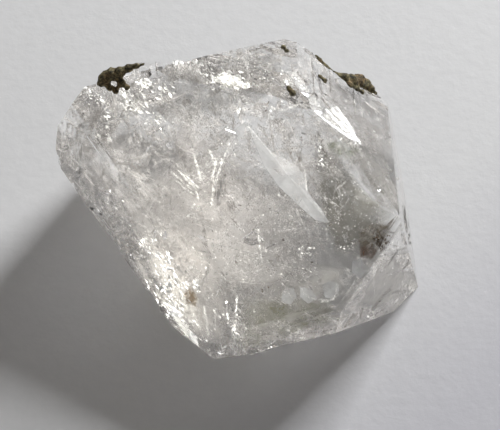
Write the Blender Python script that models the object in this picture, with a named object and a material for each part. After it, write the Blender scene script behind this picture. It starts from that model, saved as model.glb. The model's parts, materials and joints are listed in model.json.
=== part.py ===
"""Herkimer diamond: a stubby, double-terminated quartz crystal with remnants of its host rock.

The crystal is modelled on its own axes, c along Z, from the true angles between quartz faces and
the distance of each face from the crystal's middle. Ledges and pits are bounded by planes parallel
to the same faces, as they are on a real crystal. Lengths are in millimetres until every solid is done.
The meshes are then scaled to metres, and an empty turns them over, so that the crystal lies on
its flat break.
"""

import math
import random
from itertools import combinations

import bmesh
import bpy
from mathutils import Matrix, Vector, noise

MM = 0.001

# Quartz form. Faces are counted round the c-axis, 60 degrees apart.
RHOMB_POLAR = 51.79  # angle between the c-axis and the normal of a rhombohedral face
UPPER_RHOMB = (5.65, 5.30, 3.35, 3.15, 5.20, 4.90)  # distance of each face from the middle
LOWER_RHOMB = (2.75, 4.00, 6.40, 5.80, 4.45, 4.65)
PRISM = (5.25, 7.45, 4.27, 5.50, 3.95, 4.47)

# Flat breaks: azimuth and polar angle of the break, and its distance from the middle.
BREAKS = {
    "seat": (140.3, 51.1, 2.60),
    "left_shoulder": (-171.9, 154.9, 6.46),
    "front_bevel": (26.8, 85.3, 5.57),
}
SPIN = -152.0  # how far the crystal is spun about the vertical, once it lies on its seat

# Growth ledges and pits placed by hand: face, place on it, half width, and height of the step.
LEDGES = (
    ("lower0", (-2.75, -2.60), 1.10, 0.04),
    ("lower0", (-3.00, 0.90), 0.95, 0.04),
    ("lower0", (2.30, 1.60), 0.90, 0.04),
    ("lower0", (0.60, -4.10), 1.20, 0.04),
    ("lower0", (-1.00, 4.00), 0.70, 0.04),
    ("lower1", (2.20, -3.70), 0.75, 0.07),
    ("lower1", (0.90, -0.60), 0.80, 0.08),
    ("lower1", (1.90, 2.10), 0.60, 0.08),
    ("prism5", (1.70, 1.20), 0.75, 0.07),
    ("prism5", (0.30, -0.10), 0.60, 0.04),
    ("upper0", (0.90, 1.80), 0.80, 0.05),
    ("upper0", (-0.60, 0.30), 0.60, 0.04),
    ("upper2", (-3.20, -1.00), 0.70, 0.06),
    ("upper1", (-1.60, 0.40), 0.90, 0.06),
    ("prism4", (-1.60, 0.30), 1.10, 0.09),
    ("prism4", (0.60, 0.60), 0.90, 0.07),
    ("upper3", (1.90, 1.50), 1.10, 0.09),
    ("upper3", (1.60, -2.00), 0.90, 0.07),
    ("lower3", (-1.40, -0.90), 0.90, 0.08),
    ("prism2", (0.30, -2.60), 0.90, 0.08),
    ("lower4", (-1.20, -1.20), 0.90, 0.07),
)
SHOULDER_SPAN = (0.45, 2.45)  # the growth block behind the top left edge, as places along it
SHOULDER_RISE = 0.18  # how steeply the block rises along the edge

# Growth lines across the prism faces: face, height along the c-axis, and half width of the ridge.
GROWTH_LINES = (
    ("prism5", -1.10, 0.10),
    ("prism5", -0.35, 0.07),
    ("prism5", 0.75, 0.12),
    ("prism4", -1.70, 0.12),
    ("prism4", -0.60, 0.08),
    ("prism4", 0.35, 0.14),
    ("prism4", 1.50, 0.09),
    ("prism2", -3.30, 0.10),
    ("prism2", -1.50, 0.13),
    ("prism2", -0.60, 0.07),
)
LINE_STEP = 0.035

PITS = (
    ("lower0", (0.20, -1.60), 0.26, 0.07),
    ("lower0", (-0.60, 1.90), 0.20, 0.06),
    ("lower0", (1.90, 0.20), 0.22, 0.06),
    ("lower1", (1.60, 0.60), 0.30, 0.12),
    ("lower1", (2.00, -1.60), 0.28, 0.10),
    ("lower1", (1.70, 1.60), 0.30, 0.14),
    ("prism4", (1.40, 0.90), 0.45, 0.16),
    ("prism4", (-0.40, -0.60), 0.35, 0.12),
    ("upper3", (2.50, -0.30), 0.50, 0.16),
    ("upper3", (1.00, 3.20), 0.35, 0.12),
    ("upper1", (-0.60, -1.00), 0.35, 0.10),
    ("prism2", (1.60, -1.80), 0.40, 0.14),
    ("lower3", (-0.40, 0.10), 0.35, 0.12),
)
SMALL_LEDGES = 3  # small ledges scattered on each face, besides those above
SMALL_PITS = 3
SEED = 11

# Chips along edges: the two faces, place along their edge, radius of the scoop, and its depth.
CHIPS = (
    ("lower0", "prism5", 1.30, 1.10, 0.16),
    ("lower0", "prism5", 0.48, 0.90, 0.14),
    ("lower0", "prism5", -2.55, 1.20, 0.10),
    ("lower1", "prism2", 1.15, 0.35, 0.17),
    ("lower1", "prism2", -1.20, 0.80, 0.08),
    ("lower0", "lower1", -1.10, 0.90, 0.05),
    ("lower0", "lower1", 1.90, 0.80, 0.05),
    ("lower0", "lower5", -1.30, 0.90, 0.06),
    ("upper0", "upper5", 0.60, 0.80, 0.08),
    ("prism4", "upper3", 0.40, 1.20, 0.14),
    ("prism4", "upper3", -1.60, 0.90, 0.12),
)
BITE = ("prism4", "prism5", -0.36, 0.75, 0.22)  # the deepest one, which the right crust crosses
LONG_CHIP = 1.6  # how much longer than wide a chip is, along its edge

# Host rock, as beads that run together. On an edge, a bead has its place along the edge, how far it
# reaches over each of the two faces, its lift and its radius.
LEFT_CRUST_EDGE = ("lower0", "lower4")
LEFT_CRUST = (
    (3.68, 0.06, 0.00, 0.04, 0.14),
    (3.48, 0.05, 0.05, 0.20, 0.24),
    (3.20, 0.02, 0.05, 0.24, 0.24),
    (2.90, 0.02, 0.00, 0.26, 0.19),
    (2.60, 0.00, 0.00, 0.30, 0.15),
    (2.32, 0.00, 0.00, 0.30, 0.11),
    (2.10, 0.00, 0.00, 0.31, 0.07),
    (3.40, 0.26, 0.00, 0.03, 0.13),
    (3.24, 0.42, 0.00, 0.00, 0.11),
    (2.98, 0.24, 0.00, 0.05, 0.15),
    (2.84, 0.38, 0.00, 0.02, 0.12),
)
RIGHT_CRUST_EDGE = ("prism4", "prism5")
RIGHT_CRUST = (
    (-0.96, 0.00, 0.06, -0.02, 0.08),
    (-0.80, 0.00, 0.08, -0.06, 0.10),
    (-0.64, 0.00, 0.10, -0.09, 0.11),
    (-0.48, 0.00, 0.14, -0.11, 0.13),
    (-0.32, 0.00, 0.20, -0.12, 0.14),
    (-0.16, 0.00, 0.26, -0.10, 0.15),
    (0.00, 0.00, 0.30, -0.06, 0.15),
    (0.14, 0.00, 0.30, -0.01, 0.16),
    (0.28, 0.00, 0.30, 0.03, 0.17),
    (0.54, 0.00, 0.26, 0.08, 0.22),
    (0.84, 0.05, 0.14, 0.14, 0.24),
    (1.14, 0.05, 0.08, 0.12, 0.23),
    (1.42, 0.00, 0.06, 0.06, 0.17),
    (1.66, 0.00, 0.03, 0.02, 0.10),
    (0.46, 0.00, 0.50, 0.00, 0.13),
    (0.74, 0.00, 0.46, 0.00, 0.14),
    (1.00, 0.00, 0.46, 0.00, 0.12),
)
# Loose crumbs, each on one face: place on the face, lift and radius of every bead.
CRUMBS = {
    "matrix_crumb_peak": ("lower5", ((-1.64, 0.88, 0.03, 0.11), (-1.48, 0.98, 0.03, 0.09))),
    "matrix_crumb_bite": ("prism5", ((-0.90, -0.90, 0.02, 0.10), (-0.84, -0.72, 0.02, 0.11))),
    "matrix_crumb_glint": ("lower0", ((-3.50, -0.24, 0.02, 0.10), (-3.44, -0.04, 0.02, 0.12))),
}
ROCK_GAP = 0.03  # between the rock and the crystal
ROCK_VOXEL = 0.06  # grain of the rock's surface
ROCK_ROUGH = 0.30  # how far its grains stand out, as a share of a bead's radius

WELD = 0.004  # corners closer than this are one corner
SLIVER = 0.001  # edges shorter than this are closed up
ROOT_DEPTH = 0.25  # how far a ledge reaches down into the crystal
EDGE_MARGIN = 0.04  # a ledge or a pit stops this far short of the crystal's edge


def direction(azimuth, polar):
    """Unit vector at these angles in degrees, on the crystal's axes."""
    azimuth = math.radians(azimuth)
    polar = math.radians(polar)
    flat = math.sin(polar)
    return Vector((flat * math.cos(azimuth), flat * math.sin(azimuth), math.cos(polar)))


def quartz_faces():
    """Name, outward normal and distance of each of the 18 faces."""
    faces = {}
    for name, polar, distances in (
        ("upper", RHOMB_POLAR, UPPER_RHOMB),
        ("lower", 180 - RHOMB_POLAR, LOWER_RHOMB),
        ("prism", 90, PRISM),
    ):
        for step, distance in enumerate(distances):
            faces[f"{name}{step}"] = (direction(60 * step, polar), distance)
    return faces


FACES = quartz_faces()


def crystal_planes(grow=0.0):
    """Every plane that bounds the plain crystal, moved outward by grow."""
    planes = [(normal, distance + grow) for normal, distance in FACES.values()]
    for azimuth, polar, distance in BREAKS.values():
        planes.append((direction(azimuth, polar), distance + grow))
    return planes


def corners_of(planes):
    """Corners of the convex solid that lies behind every plane, each a (normal, distance)."""
    corners = []
    for (n1, d1), (n2, d2), (n3, d3) in combinations(planes, 3):
        size = n1.dot(n2.cross(n3))
        if abs(size) < 0.02:
            continue
        point = (n2.cross(n3) * d1 + n3.cross(n1) * d2 + n1.cross(n2) * d3) / size
        if any(point.dot(normal) > distance + 1e-5 for normal, distance in planes):
            continue
        if all((point - other).length > WELD for other in corners):
            corners.append(point)
    return corners


def add_convex(bm, planes):
    """Adds the convex solid behind these planes, with one polygon to a face."""
    made = [bm.verts.new(point) for point in corners_of(planes)]
    if len(made) < 4:
        raise ValueError("these planes enclose nothing")
    hull = bmesh.ops.convex_hull(bm, input=made)
    edges = [item for item in hull["geom"] if isinstance(item, bmesh.types.BMEdge)]
    bmesh.ops.dissolve_limit(bm, angle_limit=math.radians(0.3), verts=made, edges=edges)


def face_axes(face):
    """Outward normal of a face, the direction across it, and the one up it towards +c."""
    normal = FACES[face][0]
    up = (Vector((0, 0, 1)) - normal * normal.z).normalized()
    return normal, up.cross(normal), up


def on_face(face, place, lift=0.0):
    """Point at (across, up) on a face, lifted off it."""
    normal, across, up = face_axes(face)
    return normal * (FACES[face][1] + lift) + across * place[0] + up * place[1]


def edge_frame(first, second):
    """Point on the edge between two faces nearest the middle, the edge's direction, the directions
    away from it down each face, and the direction straight out."""
    n1, d1 = FACES[first]
    n2, d2 = FACES[second]
    lean = n1.dot(n2)
    share1 = (d1 - d2 * lean) / (1 - lean * lean)
    share2 = (d2 - d1 * lean) / (1 - lean * lean)
    along = n1.cross(n2).normalized()
    over1 = (n1 * lean - n2).normalized()
    over2 = (n2 * lean - n1).normalized()
    return n1 * share1 + n2 * share2, along, over1, over2, (n1 + n2).normalized()


def new_object(name, bm, material=None):
    bmesh.ops.recalc_face_normals(bm, faces=bm.faces)
    mesh = bpy.data.meshes.new(name)
    bm.to_mesh(mesh)
    bm.free()
    made = bpy.data.objects.new(name, mesh)
    bpy.context.scene.collection.objects.link(made)
    if material:
        mesh.materials.append(material)
    return made


def new_cutter(name, planes):
    """A convex solid for a Boolean, hidden from renders."""
    bm = bmesh.new()
    add_convex(bm, planes)
    cutter = new_object(name, bm)
    cutter.hide_render = True
    cutter.display_type = "WIRE"
    return cutter


def growth_walls(centre, half_width, rng, skip):
    """Planes parallel to the quartz faces round a point, clear of the crystal's own edges."""
    walls = []
    for normal, distance in FACES.values():
        if abs(normal.dot(skip)) > 0.95:
            continue
        reach = half_width * rng.uniform(0.55, 1.45)
        margin = EDGE_MARGIN * rng.uniform(0.6, 1.6)
        walls.append((normal, min(normal.dot(centre) + reach, distance - margin)))
    return walls


def ledge_planes(face, place, half_width, step, rng):
    normal, distance = FACES[face]
    step *= rng.uniform(0.85, 1.15)
    centre = on_face(face, place)
    planes = growth_walls(centre, half_width, rng, normal)
    return planes + [(normal, distance + step), (-normal, ROOT_DEPTH - distance)]


def pit_planes(face, place, half_width, depth, rng):
    normal, distance = FACES[face]
    floor = on_face(face, place, -depth)
    planes = growth_walls(floor, half_width, rng, normal)
    return planes + [(normal, distance + ROOT_DEPTH), (-normal, depth - distance)]


def shoulder_planes(grow=0.0):
    """The growth block behind the top left edge, which rises towards the left end."""
    point, along, _, _, _ = edge_frame(*LEFT_CRUST_EDGE)
    front, front_distance = FACES[LEFT_CRUST_EDGE[0]]
    back, back_distance = FACES[LEFT_CRUST_EDGE[1]]
    start, end = SHOULDER_SPAN
    top = (back - along * SHOULDER_RISE).normalized()
    slope = (along + back * 0.8).normalized()
    low_end = point + along * start
    high_end = point + along * end
    return [
        (front, front_distance - EDGE_MARGIN / 2 + grow),
        (-front, 1.4 - front_distance + grow),
        (top, low_end.dot(top) + grow),
        (-back, 0.5 - back_distance + grow),
        (slope, (high_end + back * 0.25).dot(slope) + grow),
        (-along, -low_end.dot(along) + grow),
    ]


def growth_line_planes(face, height, half_width, rng):
    """A low ridge right across a prism face, square to the c-axis."""
    normal, distance = FACES[face]
    planes = [
        (normal, distance + LINE_STEP * rng.uniform(0.7, 1.3)),
        (-normal, ROOT_DEPTH - distance),
        (Vector((0, 0, 1)), height + half_width),
        (Vector((0, 0, -1)), half_width - height),
    ]
    for beside, beside_distance in crystal_planes():
        if abs(beside.dot(normal)) < 0.95:
            planes.append((beside, beside_distance - EDGE_MARGIN * rng.uniform(0.6, 1.6)))
    return planes


def scatter(face, count, rng, keep_clear):
    """Places for small features on a face, inside its edges and away from the host rock."""
    normal, distance = FACES[face]
    planes = crystal_planes(-2 * EDGE_MARGIN)
    outline = [c for c in corners_of(crystal_planes()) if abs(c.dot(normal) - distance) < 0.01]
    _, across, up = face_axes(face)
    places = []
    for _ in range(40 * count):
        if len(places) == count or len(outline) < 3:
            break
        shares = [rng.random() ** 2 for _ in outline]
        point = sum((c * s for c, s in zip(outline, shares)), Vector()) / sum(shares)
        inside = all(point.dot(n) <= d for n, d in planes if n.dot(normal) < 0.99)
        if inside and all((point - bead).length > 0.75 for bead in keep_clear):
            places.append((point.dot(across), point.dot(up)))
    return places


def new_scoop(first, second, place, radius, depth, shrink=0.0):
    """A long ball that dips into an edge, for a shallow curved chip."""
    point, along, _, _, out = edge_frame(first, second)
    centre = point + along * place + out * (radius - depth)
    turn = Matrix((along, out.cross(along), out)).transposed().to_4x4()
    stretch = Matrix.Diagonal((LONG_CHIP, 1, 1, 1))
    place_ball = Matrix.Translation(centre) @ turn @ stretch
    bm = bmesh.new()
    bmesh.ops.create_icosphere(bm, subdivisions=3, radius=radius - shrink, matrix=place_ball)
    scoop = new_object("scoop", bm)
    scoop.hide_render = True
    scoop.display_type = "WIRE"
    return scoop


def bright_chip_planes():
    """The flat triangular chip on the edge of the main face, which narrows to a point."""
    point, along, over_main, over_side, out = edge_frame("lower0", "prism5")
    tip = point - along * 1.45
    wide_side = point + along * 0.10 + over_side * 0.42
    wide_main = point + along * 0.10 + over_main * 0.30
    normal = (wide_side - tip).cross(wide_main - tip).normalized()
    if normal.dot(out) < 0:
        normal.negate()
    middle = point.dot(along)
    return [
        (-normal, -tip.dot(normal)),
        (out, point.dot(out) + 0.4),
        (along, middle + 0.10),
        (-along, 1.60 - middle),
        (over_side, point.dot(over_side) + 1.2),
        (over_main, point.dot(over_main) + 1.2),
    ]


def evaluated_mesh(part):
    """A bmesh of the part with its modifiers applied."""
    bpy.context.view_layer.update()
    graph = bpy.context.evaluated_depsgraph_get()
    bm = bmesh.new()
    bm.from_object(part, graph)
    return bm


def settle(part, bm):
    """Makes this mesh the part's own, and drops the part's modifiers."""
    part.modifiers.clear()
    bm.to_mesh(part.data)
    bm.free()


def carve(part, operation, cutter, last_use=True):
    """Adds or cuts away one solid. One that wouldn't leave the part closed is left out."""
    boolean = part.modifiers.new(operation, "BOOLEAN")
    boolean.operation = operation
    boolean.solver = "EXACT"
    boolean.object = cutter
    bm = evaluated_mesh(part)
    if all(len(edge.link_faces) == 2 for edge in bm.edges) and len(bm.verts) > 3:
        settle(part, bm)
    else:
        print(f"{cutter.name} is left out of {part.name}")
        part.modifiers.clear()
        bm.free()
    if last_use:
        bpy.data.objects.remove(cutter, do_unlink=True)


def finish_solid(part):
    """Closes slivers and keeps the largest body only, as triangles that face outward."""
    bm = bmesh.new()
    bm.from_mesh(part.data)
    bmesh.ops.remove_doubles(bm, verts=bm.verts, dist=SLIVER)
    bmesh.ops.dissolve_degenerate(bm, dist=SLIVER, edges=bm.edges)
    left = set(bm.verts)
    bodies = []
    while left:
        body = set()
        front = [left.pop()]
        while front:
            vertex = front.pop()
            body.add(vertex)
            for edge in vertex.link_edges:
                other = edge.other_vert(vertex)
                if other in left:
                    left.remove(other)
                    front.append(other)
        bodies.append(body)
    bodies.sort(key=len)
    bmesh.ops.delete(bm, geom=[v for body in bodies[:-1] for v in body], context="VERTS")
    bmesh.ops.triangulate(bm, faces=bm.faces)
    bmesh.ops.recalc_face_normals(bm, faces=bm.faces)
    settle(part, bm)


def build_crystal(material, rock_beads):
    """The crystal with its ledges, growth lines, pits and chips."""
    bm = bmesh.new()
    add_convex(bm, crystal_planes())
    crystal = new_object("quartz_crystal", bm, material)
    rng = random.Random(SEED)
    raised = [("ledge", ledge_planes(*ledge, rng)) for ledge in LEDGES]
    raised.append(("shoulder", shoulder_planes()))
    raised += [("growth_line", growth_line_planes(*line, rng)) for line in GROWTH_LINES]
    sunk = [("pit", pit_planes(*pit, rng)) for pit in PITS]
    sunk.append(("bright_chip", bright_chip_planes()))
    for face in FACES:
        for place in scatter(face, SMALL_LEDGES, rng, rock_beads):
            size, step = rng.uniform(0.2, 0.5), rng.uniform(0.03, 0.06)
            raised.append(("small_ledge", ledge_planes(face, place, size, step, rng)))
        for place in scatter(face, SMALL_PITS, rng, rock_beads):
            size, depth = rng.uniform(0.10, 0.24), rng.uniform(0.04, 0.09)
            sunk.append(("small_pit", pit_planes(face, place, size, depth, rng)))
    for operation, solids in (("UNION", raised), ("DIFFERENCE", sunk)):
        for name, planes in solids:
            if len(corners_of(planes)) > 5:
                carve(crystal, operation, new_cutter(name, planes))
    for chip in CHIPS + (BITE,):
        carve(crystal, "DIFFERENCE", new_scoop(*chip))
    finish_solid(crystal)
    return crystal


def edge_beads(edge, beads):
    point, along, over1, over2, out = edge_frame(*edge)
    return [
        (point + along * place + over1 * reach1 + over2 * reach2 + out * lift, radius)
        for place, reach1, reach2, lift, radius in beads
    ]


def build_rock(name, beads, material, seats):
    """Crumbly rock: lumpy beads fused into one body, cut back to lie against the crystal."""
    bm = bmesh.new()
    for centre, radius in beads:
        ball = bmesh.ops.create_icosphere(bm, subdivisions=3, radius=1)
        for vertex in ball["verts"]:
            spot = centre + vertex.co * radius
            lump = noise.noise(spot / 0.17) + 0.5 * noise.noise(spot / 0.08)
            vertex.co = centre + vertex.co * radius * (1 + ROCK_ROUGH * lump)
    rock = new_object(name, bm, material)
    remesh = rock.modifiers.new("fuse", "REMESH")
    remesh.mode = "VOXEL"
    remesh.voxel_size = ROCK_VOXEL
    settle(rock, evaluated_mesh(rock))
    for seat in seats:
        carve(rock, "DIFFERENCE", seat, last_use=False)
    finish_solid(rock)
    return rock


def make_material(name, color, roughness, transmission=0.0, ior=1.5):
    material = bpy.data.materials.new(name)
    material.use_nodes = True
    shader = material.node_tree.nodes["Principled BSDF"]
    shader.inputs["Base Color"].default_value = (*color, 1)
    shader.inputs["Roughness"].default_value = roughness
    shader.inputs["Metallic"].default_value = 0.0
    shader.inputs["Transmission Weight"].default_value = transmission
    shader.inputs["IOR"].default_value = ior
    return material


def lay_down(parts):
    """Parents the parts to an empty that puts the seat on the ground and the box over the origin."""
    axes = bpy.data.objects.new("crystal_axes", None)
    bpy.context.scene.collection.objects.link(axes)
    down = direction(*BREAKS["seat"][:2]).rotation_difference(Vector((0, 0, -1)))
    turn = Matrix.Rotation(math.radians(SPIN), 4, "Z") @ down.to_matrix().to_4x4()
    corners = []
    for part in parts:
        part.data.transform(Matrix.Scale(MM, 4))
        part.parent = axes
        corners += [turn @ vertex.co for vertex in part.data.vertices]
    low = [min(corner[i] for corner in corners) for i in range(3)]
    high = [max(corner[i] for corner in corners) for i in range(3)]
    middle = Vector(((low[0] + high[0]) / 2, (low[1] + high[1]) / 2, low[2]))
    axes.matrix_world = Matrix.Translation(-middle) @ turn


def main():
    for leftover in list(bpy.data.objects):
        bpy.data.objects.remove(leftover, do_unlink=True)
    quartz = make_material("clear_quartz", (0.93, 0.93, 0.90), 0.04, 1.0, 1.544)
    rock = make_material("host_rock", (0.085, 0.065, 0.035), 0.85)

    left_beads = edge_beads(LEFT_CRUST_EDGE, LEFT_CRUST)
    right_beads = edge_beads(RIGHT_CRUST_EDGE, RIGHT_CRUST)
    crumbs = {
        name: [(on_face(face, bead[:2], bead[2]), bead[3]) for bead in beads]
        for name, (face, beads) in CRUMBS.items()
    }
    every_bead = left_beads + right_beads + [bead for beads in crumbs.values() for bead in beads]

    grown = new_cutter("grown_crystal", crystal_planes(ROCK_GAP))
    carve(grown, "DIFFERENCE", new_scoop(*BITE, shrink=ROCK_GAP))
    block = new_cutter("grown_shoulder", shoulder_planes(ROCK_GAP))
    parts = [
        build_crystal(quartz, [centre for centre, _ in every_bead]),
        build_rock("matrix_crust_left", left_beads, rock, (grown, block)),
        build_rock("matrix_crust_right", right_beads, rock, (grown,)),
    ]
    for name, beads in crumbs.items():
        parts.append(build_rock(name, beads, rock, (grown,)))
    for seat in (grown, block):
        bpy.data.objects.remove(seat, do_unlink=True)
    lay_down(parts)


if __name__ == "__main__":
    main()
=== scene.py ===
"""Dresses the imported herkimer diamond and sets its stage.

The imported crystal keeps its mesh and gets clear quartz. Inside it go the flaws that a real one holds:
milky films, veils of tiny flakes along healed cracks, open cracks, white flecks, pale panes, coloured
clouds and dark specks. The host rock on its edges gets a grainy finish. Lengths are millimetres in the
crystal's frame until new_piece scales them to metres.
"""

import json
import math

import bmesh
import bpy
import numpy as np
from bpy.props import FloatProperty, FloatVectorProperty, IntProperty, PointerProperty
from bpy.types import Operator, Panel, PropertyGroup
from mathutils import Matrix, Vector, noise

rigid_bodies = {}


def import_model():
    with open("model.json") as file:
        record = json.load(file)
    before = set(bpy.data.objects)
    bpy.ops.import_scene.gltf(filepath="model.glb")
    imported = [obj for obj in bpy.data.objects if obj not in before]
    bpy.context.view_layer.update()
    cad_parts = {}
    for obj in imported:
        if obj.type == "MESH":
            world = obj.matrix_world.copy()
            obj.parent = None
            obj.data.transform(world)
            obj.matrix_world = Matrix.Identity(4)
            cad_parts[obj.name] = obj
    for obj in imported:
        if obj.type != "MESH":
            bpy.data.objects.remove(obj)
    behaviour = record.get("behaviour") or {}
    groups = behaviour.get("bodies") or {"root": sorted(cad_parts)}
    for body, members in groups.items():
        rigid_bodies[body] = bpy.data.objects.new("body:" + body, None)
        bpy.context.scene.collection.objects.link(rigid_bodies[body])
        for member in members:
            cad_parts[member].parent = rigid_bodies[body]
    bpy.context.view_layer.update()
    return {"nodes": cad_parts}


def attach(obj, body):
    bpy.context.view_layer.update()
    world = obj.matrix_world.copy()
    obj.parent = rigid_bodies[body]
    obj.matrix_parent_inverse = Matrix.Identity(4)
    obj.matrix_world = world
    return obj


bl_info = {
    "name": "Herkimer Diamond",
    "version": (1, 0, 0),
    "blender": (4, 5, 0),
    "location": "3D View > Sidebar > Herkimer",
    "description": "Dresses a double-terminated quartz crystal and sets its stage",
    "category": "Object",
}

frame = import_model()
MM = 0.001
QUARTZ_IOR = 1.544
TINY = 1e-9  # stands in for zero where something is divided by it
SLOW = 1e-6  # a direction that nears a face by less than this never meets it
FAR = 1e9

VIEW_SIZE = (500, 430)  # pixels
FOCAL_PIXELS = 1968.8
CAMERA_PLACE = np.array((0.42, -33.68, 59.75))  # millimetres
CAMERA_TILT = 29.98  # degrees from straight down
KEY_TURN = 55.0  # degrees from +X to +Y, to the window
KEY_HEIGHT = 31.0  # degrees above the floor
KEY_AWAY = 0.16  # metres
KEY_SIZE = (0.05, 0.04)  # metres wide and high


# ---------------------------------------------------------------- geometry of light and view


def unit(vectors):
    """Vectors scaled to a length of one."""
    return vectors / np.maximum(np.linalg.norm(vectors, axis=-1, keepdims=True), TINY)


def hull_planes():
    """Normal and distance of every plane of the crystal's convex hull."""
    same_point = 1e-6  # metres
    least_area = 2e-8  # square metres
    same_plane = 0.02
    bm = bmesh.new()
    bm.from_mesh(frame["nodes"]["quartz_crystal"].data)
    bmesh.ops.remove_doubles(bm, verts=bm.verts, dist=same_point)
    hull = bmesh.ops.convex_hull(bm, input=bm.verts)
    keep = []
    for item in hull["geom"]:
        if isinstance(item, bmesh.types.BMFace) and item.calc_area() > least_area:
            plane = np.array((*item.normal, item.normal.dot(item.verts[0].co) / MM))
            if all(np.abs(plane - other).max() > same_plane for other in keep):
                keep.append(plane)
    bm.free()
    return np.array(keep)


# The flaws are placed by the hull, which the crystal follows but for its bite, pits and ledges.
HULL = hull_planes()


def depth_inside(points):
    """How deep each point lies inside the hull."""
    return (HULL[:, 3] - points @ HULL[:, :3].T).min(axis=1)


def reach_inside(origin, directions):
    """How far it is from a point inside the hull to its surface, in each direction."""
    speed = directions @ HULL[:, :3].T
    room = HULL[:, 3] - HULL[:, :3] @ origin
    return np.where(speed > SLOW, room / np.maximum(speed, SLOW), FAR).min(axis=1)


def view_axes():
    """The view's right, its up and the way back to the camera."""
    tilt = math.radians(CAMERA_TILT)
    right = np.array((1.0, 0.0, 0.0))
    up = np.array((0.0, math.cos(tilt), math.sin(tilt)))
    back = np.array((0.0, -math.sin(tilt), math.cos(tilt)))
    return right, up, back


def bend_into(line, face):
    """Direction of a ray after it enters quartz through a face."""
    ratio = 1 / QUARTZ_IOR
    cosine = -line @ face
    return ratio * line + (ratio * cosine - math.sqrt(1 - ratio**2 * (1 - cosine**2))) * face


def look(x, y):
    """Where the sight line at (x, y) meets the hull, how it runs on inside, and the face it meets."""
    right, up, back = view_axes()
    across = (x - VIEW_SIZE[0] / 2) / FOCAL_PIXELS
    rise = (VIEW_SIZE[1] / 2 - y) / FOCAL_PIXELS
    line = unit(right * across + up * rise - back)
    speed = HULL[:, :3] @ line
    travel = (HULL[:, 3] - HULL[:, :3] @ CAMERA_PLACE) / np.where(np.abs(speed) < TINY, TINY, speed)
    first = np.where(speed < 0, travel, -FAR).argmax()
    face = HULL[first, :3]
    return CAMERA_PLACE + line * travel[first], bend_into(line, face), face


def behind(x, y, depth):
    """The point that shows at (x, y), this deep behind the hull's face and short of its far side."""
    just_inside = 0.001
    deepest_share = 0.85
    spot, line, _ = look(x, y)
    room = reach_inside(spot + line * just_inside, line[None])[0]
    return spot + line * min(depth, deepest_share * room)


def to_key():
    """The way from the crystal to the window."""
    turn, height = math.radians(KEY_TURN), math.radians(KEY_HEIGHT)
    flat = math.cos(height)
    return np.array((flat * math.cos(turn), flat * math.sin(turn), math.sin(height)))


# ---------------------------------------------------------------- making meshes


def new_piece(name, points, faces, material, slot, smooth=False):
    """A mesh object on the root body, from points in millimetres and faces of one size."""
    mesh = bpy.data.meshes.new(name)
    points = np.asarray(points, float)
    faces = np.asarray(faces, np.int32)
    mesh.vertices.add(len(points))
    mesh.vertices.foreach_set("co", (points * MM).astype(np.float32).ravel())
    mesh.loops.add(faces.size)
    mesh.loops.foreach_set("vertex_index", faces.ravel())
    mesh.polygons.add(len(faces))
    mesh.polygons.foreach_set("loop_start", np.arange(0, faces.size, faces.shape[1], dtype=np.int32))
    mesh.polygons.foreach_set("use_smooth", np.full(len(faces), smooth))
    mesh.update(calc_edges=True)
    mesh.materials.append(material)
    piece = bpy.data.objects.new(name, mesh)
    bpy.context.scene.collection.objects.link(piece)
    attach(piece, "root")
    return piece


def join(meshes):
    """One set of points and faces from several."""
    points, faces, count = [], [], 0
    for some_points, some_faces in meshes:
        points.append(some_points)
        faces.append(np.asarray(some_faces) + count)
        count += len(some_points)
    return np.concatenate(points), np.concatenate(faces)


def flakes(centres, normals, along, lengths, widths, thickness):
    """Flat flakes, each a closed sliver of four triangles; thickness is a share of the width."""
    normals = unit(normals)
    along = unit(along - normals * (along * normals).sum(1, keepdims=True))
    across = np.cross(normals, along)
    lengths, widths = np.reshape(lengths, (-1, 1)), np.reshape(widths, (-1, 1))
    lift = normals * widths * thickness / 2
    corners = np.stack(
        [
            centres + along * lengths / 2 + lift,
            centres - along * lengths / 2 + lift,
            centres + across * widths / 2 - lift,
            centres - across * widths / 2 - lift,
        ],
        axis=1,
    )
    base = np.arange(len(centres))[:, None, None] * 4
    turns = np.array([[0, 1, 2], [1, 0, 3], [2, 3, 0], [3, 2, 1]])
    return corners.reshape(-1, 3), (base + turns).reshape(-1, 3)


def disc_faces(rings, spokes, hollow):
    """Triangles of two discs that share a rim; hollow turns them to face each other."""
    top = 0
    under = 1 + (rings - 1) * spokes
    rim = 2 * under

    def ring(side, number):
        start = rim if number == rings else side + 1 + (number - 1) * spokes
        return start + np.arange(spokes)

    faces = []
    for side, flip in ((top, False), (under, True)):
        inner = ring(side, 1)
        fan = [np.stack([np.full(spokes, side), inner, np.roll(inner, -1)], 1)]
        for number in range(1, rings):
            near, far = ring(side, number), ring(side, number + 1)
            fan.append(np.stack([near, far, np.roll(far, -1)], 1))
            fan.append(np.stack([near, np.roll(far, -1), np.roll(near, -1)], 1))
        fan = np.concatenate(fan)
        faces.append(fan[:, ::-1] if flip != hollow else fan)
    return np.concatenate(faces)


def broken_outline(rng, angles, reach):
    """Distance to an outline of five to eight straight sides, at each angle round its middle."""
    uneven = 0.35
    nearest, farthest = 0.55, 1.1
    sides = rng.integers(5, 9)
    turns = (np.arange(sides) + rng.uniform(-uneven, uneven, sides)) / sides * 2 * math.pi
    far = rng.uniform(nearest, farthest, sides)
    corners = np.column_stack([np.cos(turns) * reach[0], np.sin(turns) * reach[1]]) * far[:, None]
    bearings = np.arctan2(corners[:, 1], corners[:, 0]) % (2 * math.pi)
    order = np.argsort(bearings)
    corners, bearings = corners[order], bearings[order]
    last = np.searchsorted(bearings, angles) % sides
    start, end = corners[last - 1], corners[last]
    side = end - start
    along = start[:, 0] * side[:, 1] - start[:, 1] * side[:, 0]
    return along / (np.cos(angles) * side[:, 1] - np.sin(angles) * side[:, 0])


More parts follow.
